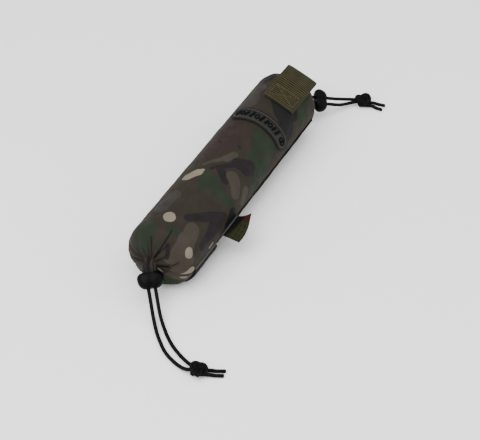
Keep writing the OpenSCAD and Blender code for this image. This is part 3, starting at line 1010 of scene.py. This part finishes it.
def add_sleeve():
    outline = sleeve_outline()
    verts, places = [], []
    for i, (x, r, run, reach) in enumerate(outline):
        before, after = beside(outline, i)
        dx, dr = after[0] - before[0], after[1] - before[1]
        outward_x = abs(dr) / max(1e-9, math.hypot(dx, dr))
        reach /= MM
        creases = NEAR_CREASES if x < 0 else FAR_CREASES
        for j in range(SLEEVE_TURNS):
            angle = SEAM - TURN * j / SLEEVE_TURNS
            if reach < -1e-6:
                pleated = r * (1 + 0.10 * math.sin(17 * angle))
                point = Vector((x, -pleated * math.sin(angle), AXIS_Z + pleated * math.cos(angle)))
                point.y += GATHER_SHIFT if x < 0 else 0
            else:
                point = sleeve_point(angle, x, r, outward_x, reach, creases)
            verts.append(point)
            places.append((run, j))
    faces = ring_faces(len(outline), SLEEVE_TURNS)
    quads = len(faces)
    faces += end_faces(len(outline), SLEEVE_TURNS)

    def uv_of(f, c, v):
        run, j = places[v]
        if f < quads and f % SLEEVE_TURNS == SLEEVE_TURNS - 1 and j == 0:
            j = SLEEVE_TURNS
        return (run, BODY_R * (SEAM - TURN * j / SLEEVE_TURNS))

    sleeve = outward(mesh_object("sleeve_shell", verts, faces, uv_of))
    sleeve = joined("sleeve_cover", [sleeve, gather_lip()])
    stand_in(sleeve, "bumper", "sleeve_cloth", "sleeve", "near_hem", "far_hem")
    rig.padded(sleeve, fill=0.9)
    return sleeve


# ---- Toggles ----


def add_toggle(name, centre, pull, side, waist, reach):
    """A two-lobed bean with a hole for each strand: pull is the strands' heading."""
    p = Vector(pull).normalized()
    a = Vector(side).normalized()
    a = (a - p * a.dot(p)).normalized()
    b = p.cross(a)
    rings, count = 19, 64
    verts = []
    for i in range(rings):
        t = -1 + 2 * i / (rings - 1)
        swell = max(0.0, 1 - abs(t) ** 2.6) ** (1 / 2.2)
        taper = 1 - 0.10 * t - 0.05 * t * t
        long = (5.2 + 8.2 * swell) * taper * MM
        deep = (2.8 + 4.2 * swell) * taper * MM
        for k in range(count):
            angle = TURN * k / count
            c, s = math.cos(angle), math.sin(angle)
            lobe = 1 - waist * (1 - abs(c)) ** 2.2
            u = long * (abs(c) ** 0.85) * (1 if c > 0 else -1)
            v = deep * (abs(s) ** 0.9) * (1 if s > 0 else -1) * lobe
            dish = 1.2 * MM * (1 - min(1.0, (u / long) ** 2)) * (1 if abs(t) > 0.98 else 0)
            verts.append(centre + a * u + b * v + p * (t * reach - dish * (1 if t > 0 else -1)))
    faces = ring_faces(rings, count) + end_faces(rings, count)
    bean = outward(mesh_object(name + "_bean", verts, faces))
    for k in (-1, 1):
        at = centre + a * (3.5 * MM * k)
        cutter = tube("hole", [at - p * 12 * MM, at, at + p * 12 * MM], 4.5 * MM, sides=28, ends=1)
        cut = bean.modifiers.new("hole", "BOOLEAN")
        cut.operation, cut.solver, cut.object = "DIFFERENCE", "EXACT", cutter
        bpy.context.view_layer.update()
        done = bpy.data.meshes.new_from_object(bean.evaluated_get(bpy.context.evaluated_depsgraph_get()))
        bean.modifiers.clear()
        bean.data = done
        bpy.data.objects.remove(cutter)
    bean.data.polygons.foreach_set("use_smooth", [True] * len(bean.data.polygons))
    bean.data.set_sharp_from_angle(angle=math.radians(38))
    return stand_in(bean, name, "toggle_plastic", name)


# ---- Pull tab ----


def tab_point(x, across, height):
    """A point over the tab's seat: height is above the lower layer's underside."""
    out = away(LEAN)
    right = Vector((0, -math.cos(LEAN), -math.sin(LEAN)))
    base = BODY_R - TAB_SEAT + height
    return Vector((x, 0, AXIS_Z)) + out * base + right * across


def edge_droop(across):
    """How far the strap's edges curl down."""
    return 1.0 * MM * (2 * across / TAB_W) ** 4


def tab_line():
    """The strap's middle line: out along the lower layer, round the fold, and back on top."""
    low, bend = WEB_T / 2, 1.8 * MM
    fold_x = TAB_FAR_X - WEB_T / 2 - bend
    line = [(TAB_NEAR_X + k * (fold_x - TAB_NEAR_X) / 40, low) for k in range(41)]
    for k in range(1, 12):
        a = math.pi * k / 12
        line.append((fold_x + bend * math.sin(a), low + bend * (1 - math.cos(a))))
    start_high = low + 2 * bend
    for k in range(41):
        x = fold_x + k * (TAB_NEAR_X + 0.8 * MM - fold_x) / 40
        part = smoothstep(TAB_SEWN_X + 1 * MM, TAB_SEWN_X + 14 * MM, x)
        line.append((x, low + WEB_T + (start_high - low - WEB_T) * part))
    free = TAB_FAR_X - TAB_SEWN_X
    return [(x, h - TAB_DROOP * max(0.0, (x - TAB_SEWN_X) / free) ** 2) for x, h in line]


def add_tab():
    line = tab_line()
    runs = runs_of(line)
    columns = 40
    rows = []
    for i, (x, h) in enumerate(line):
        before, after = beside(line, i)
        dx, dh = after[0] - before[0], after[1] - before[1]
        size = math.hypot(dx, dh)
        normal = Vector((dh / size, 0, 0)) + away(LEAN) * (-dx / size)
        row = []
        for j in range(columns + 1):
            across = TAB_W * (0.5 - j / columns)
            ripple = 0.15 * MM * math.sin(runs[i] / (7 * MM)) * (2 * across / TAB_W) ** 2
            row.append((tab_point(x, across, h - edge_droop(across) + ripple), normal))
        rows.append(row)
    tab = sheet_mesh("pull_tab", rows, WEB_T * 0.94, lambda a, b: (a * runs[-1], b * TAB_W))
    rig.blend(tab, "bumper", "tab_loop", start=tab_point(TAB_SEWN_X - 3 * MM, 0, 0),
             end=tab_point(TAB_SEWN_X + 5 * MM, 0, 0))
    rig.replaces(tab, "pull_tab_base", "pull_tab_loop")
    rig.slot(tab, "olive_webbing")
    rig.sheet(tab, flat=(TAB_W, runs[-1]), held="folded", rests_on=["sleeve_cover"])
    return tab


def add_tab_stitches():
    def run(points):
        line = []
        for (x0, y0), (x1, y1) in zip(points, points[1:]):
            for k in range(25):
                x, across = x0 + (x1 - x0) * k / 24, y0 + (y1 - y0) * k / 24
                line.append(tab_point(x, across, 2 * WEB_T + 0.1 * MM - edge_droop(across)))
        return line

    low, high, wide = TAB_NEAR_X + 3.5 * MM, TAB_SEWN_X - 3 * MM, TAB_W / 2 - 3.5 * MM
    box = [(low, -wide), (high, -wide), (high, wide), (low, wide), (low, -wide)]
    lines = [run(box[k : k + 2]) for k in range(4)]
    lines += [run([(low, -wide), (high, wide)]), run([(low, wide), (high, -wide)])]
    return stand_in(stitches("tab_stitches", lines), "bumper", "olive_thread", "tab_box_stitch")


# ---- Badge ----


BADGE_L = BADGE_ARC * BODY_R + 0.96 * BADGE_W - 8 * MM
BADGE_T = 1.4 * MM
RELIEF = 0.8 * MM


def badge_at(run, across, height):
    """A point on the badge: run is along its arc, and across is along the body."""
    return on_body(LEAN + run / BODY_R, BADGE_X + across, height)


def badge_edge(inset, count):
    """The pill's outline, so far inside its edge, as (run, across) points."""
    r = BADGE_W / 2 - inset
    straight = BADGE_L - BADGE_W
    side = straight + math.pi * r
    points = []
    for k in range(count):
        d = 2 * side * k / count
        turned, d = (-1, d - side) if d >= side else (1, d)
        a = max(0.0, d - straight) / r
        run = min(d, straight) - straight / 2 + r * math.sin(a)
        points.append((turned * run, -turned * r * math.cos(a)))
    return points


def add_badge_plate():
    """The plate: rings from its lower edge over the rounded rim to a thin slot in the middle."""
    order = [(0.0, 0.05), (0.0, 0.7), (0.12, 0.9), (0.35, 1.0), (1.0, 1.0), (2.5, 1.0), (4.5, 1.0),
             (BADGE_W / 2 / MM - 0.15, 1.0)]
    count = 160
    verts = [badge_at(u, w, BADGE_T * share)
             for inset, share in order for u, w in badge_edge(inset * MM, count)]
    last = (len(order) - 1) * count
    faces = ring_faces(len(order), count)
    faces += [(last + k, last + k + 1, last + count - 2 - k, last + count - 1 - k)
              for k in range(count // 2 - 1)]
    faces += [(k + 1, k, count - 1 - k, count - 2 - k) for k in range(count // 2 - 1)]
    plate = outward(mesh_object("badge_plate_soft", verts, faces))
    return stand_in(plate, "bumper", "badge_rubber", "badge_plate")


def closed_bead(name, points, half_width, rise):
    """A bead along a closed run of (run, across) points on the badge."""
    sides = 12
    verts = []
    for k, (u, w) in enumerate(points):
        u0, w0 = points[k - 1]
        u1, w1 = points[(k + 1) % len(points)]
        size = math.hypot(u1 - u0, w1 - w0)
        side = ((w1 - w0) / size, -(u1 - u0) / size)
        for j in range(sides):
            a = TURN * j / sides
            off = half_width * math.cos(a)
            verts.append(badge_at(u + side[0] * off, w + side[1] * off, BADGE_T + rise * math.sin(a)))
    return outward(mesh_object(name, verts, ring_faces(len(points), sides, closed=True)))


def add_badge_border():
    bead = closed_bead("badge_rim", badge_edge(1.1 * MM, 200), 1.0 * MM, 1.0 * MM)
    return stand_in(bead, "bumper", "badge_edge", "badge_border")


def slanted_bar(u, top, half):
    """A raised bar on the badge with rounded shoulders, slanted a little."""
    profile = ((-1, 0), (-0.95, 0.75), (-0.6, 1), (0, 1.05), (0.6, 1), (0.95, 0.75), (1, 0))
    rows, columns = 9, len(profile)
    verts = []
    for k in range(rows):
        t = k / (rows - 1)
        w = top * (2 * t - 1)
        narrow = half * (0.72 + 0.28 * math.sin(math.pi * t) ** 0.5)
        verts += [badge_at(u + 0.25 * w + f * narrow, w, BADGE_T - 0.1 * MM + RELIEF * g)
                  for f, g in profile]
    faces = [(k, k + 1, k + columns + 1, k + columns)
             for k in range((rows - 1) * columns) if k % columns < columns - 1]
    faces += end_faces(rows, columns)
    faces.append(tuple([i * columns for i in range(rows)]
                       + [i * columns + columns - 1 for i in reversed(range(rows))]))
    return outward(mesh_object("bar", verts, faces))


def oval(name, u, long, wide, count, half_width):
    line = [(u + long * math.cos(TURN * k / count), wide * math.sin(TURN * k / count))
            for k in range(count)]
    return closed_bead(name, line, half_width, RELIEF)


def add_badge_relief():
    """A generic raised pattern: slanted bars and small rings in turn, with an oval after them."""
    parts = []
    for k, spot in enumerate((-31, -25.5, -20.5, -14.5, -8.5, -3, 3, 8, 13.5, 19)):
        if k % 3 == 1:
            parts.append(oval("ring", spot * MM, 2.1 * MM, 2.7 * MM, 28, 0.95 * MM))
        else:
            parts.append(slanted_bar(spot * MM, (4.2 if k % 2 else 3.5) * MM, 1.8 * MM))
    parts.append(oval("oval", 30.5 * MM, 4.6 * MM, 3.5 * MM, 40, 0.8 * MM))
    parts.append(slanted_bar(30.5 * MM, 1.8 * MM, 1.3 * MM))
    return stand_in(joined("badge_relief_bars", parts), "bumper", "badge_relief", "badge_relief")


def add_badge_stitches():
    """Thread in the groove inside the rim, and a thick black edging with stitches round the plate, which is partly the
    plate's stitched edge and partly painted shadow round the raised plate.
    """
    def loop(inset, count, height):
        points = badge_edge(inset, count)
        return [badge_at(u, w, height) for u, w in points + points[:1]]

    groove = tube("groove", loop(2.6 * MM, 160, BADGE_T), 1.4 * MM, sides=8)
    line = loop(-1.2 * MM, 200, 0.6 * MM)
    # The thick black edging is partly the stitched edge and partly painted shadow round the raised plate.
    edging_and_shadow = tube("edging_and_shadow", line, 2.6 * MM, sides=8)
    sewing = stitches("round", [line], 3.0 * MM, 0.2 * MM, 3.2 * MM)
    sewn = joined("badge_stitches", [groove, edging_and_shadow, sewing])
    return stand_in(sewn, "bumper", "black_thread", "badge_stitch")


# ---- Seam, label and side tab ----


def add_binding():
    """The taped seam: a narrow black roll that wavers a little."""
    line = []
    x = -92 * MM
    while x <= SHOULDER_X + 1e-9:
        waver = 0.15 * MM * math.sin(x * 90) + 0.1 * MM * math.sin(x * 260 + 1)
        line.append(on_body(SEAM + math.radians(1.4), x, 0.35 * MM + waver))
        x += 2 * MM
    return stand_in(tube("seam_tape", line, 2.0 * MM, sides=12), "bumper", "black_tape", "seam_binding")


LABEL_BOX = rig.box("side_label")
LABEL_X0 = LABEL_BOX[0].x + 2 * MM
LABEL_L = LABEL_BOX[1].x - LABEL_BOX[0].x
LABEL_W = 20 * MM


def add_label():
    """A folded woven label, sewn in at the seam and twisted up towards its far corner."""
    def point_at(v, u):
        rise = math.radians(-6 + 44 * smoothstep(0.15, 1.15, u) ** 1.3) * v ** 0.4
        base = on_body(SEAM - math.radians(3), LABEL_X0 + LABEL_L * u, 2.3 * MM)
        bow = -0.9 * MM * math.sin(math.pi * u) * v
        out = Vector((0, -math.cos(rise), math.sin(rise)))
        return base + out * (LABEL_W * v * (1 - 0.08 * v)) + Vector((0, 0, bow))

    label = sheet_mesh("woven_label", surface(22, 30, point_at), 0.8 * MM,
                       lambda a, b: (b * LABEL_L, a * LABEL_W))
    stand_in(label, "label", "woven_label", "side_label")
    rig.sheet(label, flat=(LABEL_L, LABEL_W), held="stretched", rests_on=["label_hem_tape"])
    return label


def wrapped_strip(name, angles, x, length, height, thickness, wobble=0.0):
    """A strip round the body between two angles in degrees, and its width along the arc."""
    first, last = math.radians(angles[0]), math.radians(angles[1])
    arc = (last - first) * (BODY_R + height)

    def point_at(a, b):
        angle = first + (last - first) * a
        lift = wobble * noise.noise(Vector(((x + length * b) * 60, angle * 3, 2.0)))
        return on_body(angle, x + length * b, height + lift)

    return sheet_mesh(name, surface(24, 40, point_at), thickness, lambda a, b: (a * arc, b * length)), arc


def add_side_pieces():
    """The strip that the label is sewn into, the side tab's sewn edge, and the side tab."""
    hem, _ = wrapped_strip("label_hem_tape", (98, 102.5), LABEL_X0, LABEL_L, 0.75 * MM, 1.1 * MM)
    low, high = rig.box("side_tab")
    length = high.x - low.x
    top, _ = wrapped_strip("side_tab_top", (98, 105), low.x, length, 0.8 * MM, 1.3 * MM)
    flap, arc = wrapped_strip("side_tab_web", (105.3, 142), low.x, length, 1.8 * MM, 2.4 * MM, 0.6 * MM)
    stand_in(hem, "bumper", "black_tape", "label_hem")
    stand_in(top, "bumper", "black_tape", "side_tab_hem")
    stand_in(flap, "side_tab", "dark_webbing", "side_tab")
    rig.sheet(flap, flat=(arc, length), held="hung", rests_on=["sleeve_cover"])
    return hem, top, flap


def add_floor():
    corners = [(x * FLOOR_HALF, y * FLOOR_HALF, 0) for x, y in ((-1, -1), (1, -1), (1, 1), (-1, 1))]
    floor = mesh_object("floor", corners, [(0, 1, 2, 3)])
    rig.stage(floor)
    return floor


# ---- The scene ----

add_camera()
cord_cloth = braided_cord("elastic_cord", (0.0018, 0.0016, 0.0016), (0.0045, 0.0040, 0.0040))
add_cords(cord_cloth)
add_world(1.0)
add_light("key", -100, 55, 1.6, 32)
add_light("fill", 20, 40, 2.0, 12)
add_light("top", -60, 85, 2.0, 14)
dress(add_floor(), plain_floor())

dress(add_sleeve(), camo_cloth())
toggle_look = moulded("toggle_plastic", (0.0006, 0.0005, 0.0006), (0.0015, 0.0013, 0.0015), 0.4, 0.07)
near_toggle = add_toggle("near_toggle", Vector((-END_X - 12.6 * MM, -4.2 * MM, 27.6 * MM)),
                         (-30, -25, -27.5), (2.25, -2.7, 0), 0.13, 9.0 * MM)
far_toggle = add_toggle("far_toggle", Vector((END_X + 23.1 * MM, -26.75 * MM, 21 * MM)),
                        (20, -20, -9), (2.33, 1.34, 2.2), 0.32, 7.8 * MM)
dress(near_toggle, toggle_look)
dress(far_toggle, toggle_look)
dress(add_tab(), webbing("olive_webbing", (0.0018, 0.0017, 0.0006), (0.048, 0.043, 0.018), 2.6))
dress(add_tab_stitches(), thread("olive_thread", (0.030, 0.028, 0.015), (0.090, 0.085, 0.048)))
dress(add_badge_plate(), moulded("badge_rubber", (0.011, 0.0108, 0.009), (0.016, 0.0157, 0.013), 0.7, 0.2))
dress(add_badge_border(), moulded("badge_edge", (0.017, 0.017, 0.0145), (0.027, 0.0265, 0.0225), 0.6, 0.2))
relief_look = moulded("badge_relief", (0.0012, 0.0012, 0.0012), (0.003, 0.003, 0.0028), 0.7, 0.05)
dress(add_badge_relief(), relief_look)
dress(add_badge_stitches(), thread("black_thread", (0.001, 0.001, 0.001), (0.004, 0.004, 0.0035)))
dress(add_binding(), tape("black_tape", (0.0015, 0.0015, 0.0015), (0.005, 0.0047, 0.0047)))
dress(add_label(), woven_label())
label_hem, side_tab_top, side_tab = add_side_pieces()
for strip in (label_hem, side_tab_top):
    dress(strip, bpy.data.materials["black_tape"])  # the CAD model's own
dress(side_tab, webbing("dark_webbing", (0.004, 0.0035, 0.003), (0.022, 0.020, 0.016), 2.2))
dress(frame["nodes"]["foam_core"], foam())
for ring in ("near_cord_ring", "far_cord_ring"):
    dress(frame["nodes"][ring], cord_cloth)

low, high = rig.bounds()
with open("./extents.json", "w") as f:
    json.dump({"cad": [list(cad_low), list(cad_high)], "visual": [list(low), list(high)]}, f)
